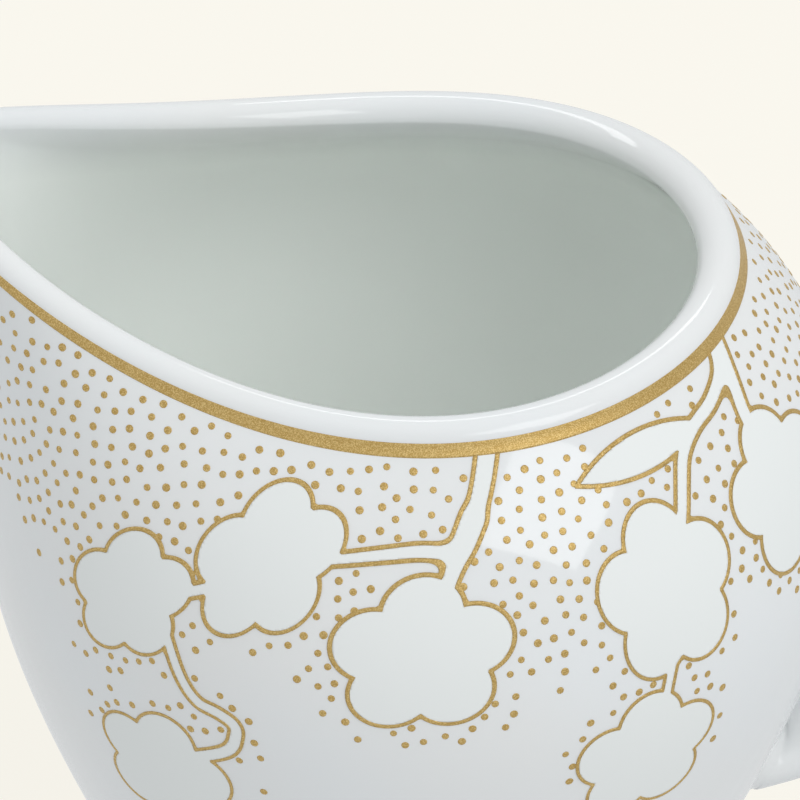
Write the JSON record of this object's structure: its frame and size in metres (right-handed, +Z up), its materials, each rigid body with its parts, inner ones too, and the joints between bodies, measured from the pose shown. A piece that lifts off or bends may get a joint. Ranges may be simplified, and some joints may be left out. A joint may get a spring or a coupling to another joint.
{
  "type": "cream jug",
  "caption": "Small round-bellied porcelain cream jug with a rolled lip, raised pouring spout, ear-shaped handle, gold rim line and matte blossom sprays.",
  "frame": {"origin": "centre of the foot ring on the plane the jug stands on", "axes": "+Z up; the spout points to -X and the handle to +X; the jug is symmetric about Y = 0"},
  "size_m": [0.1094, 0.0818, 0.0959],
  "materials": {
    "glazed_porcelain": "clear gloss glaze",
    "bare_porcelain": "bare ground biscuit edge",
    "fired_gold": "satin fired gold",
    "matte_white": "matte white"
  },
  "bodies": {
    "root": {"jug_body": "glazed_porcelain", "handle": "glazed_porcelain", "foot_ring": "bare_porcelain", "gold_rim_line": "fired_gold", "front_middle_spray": "matte_white", "front_handle_spray": "matte_white", "back_middle_spray": "matte_white", "back_handle_spray": "matte_white"}
  },
  "joints": []
}
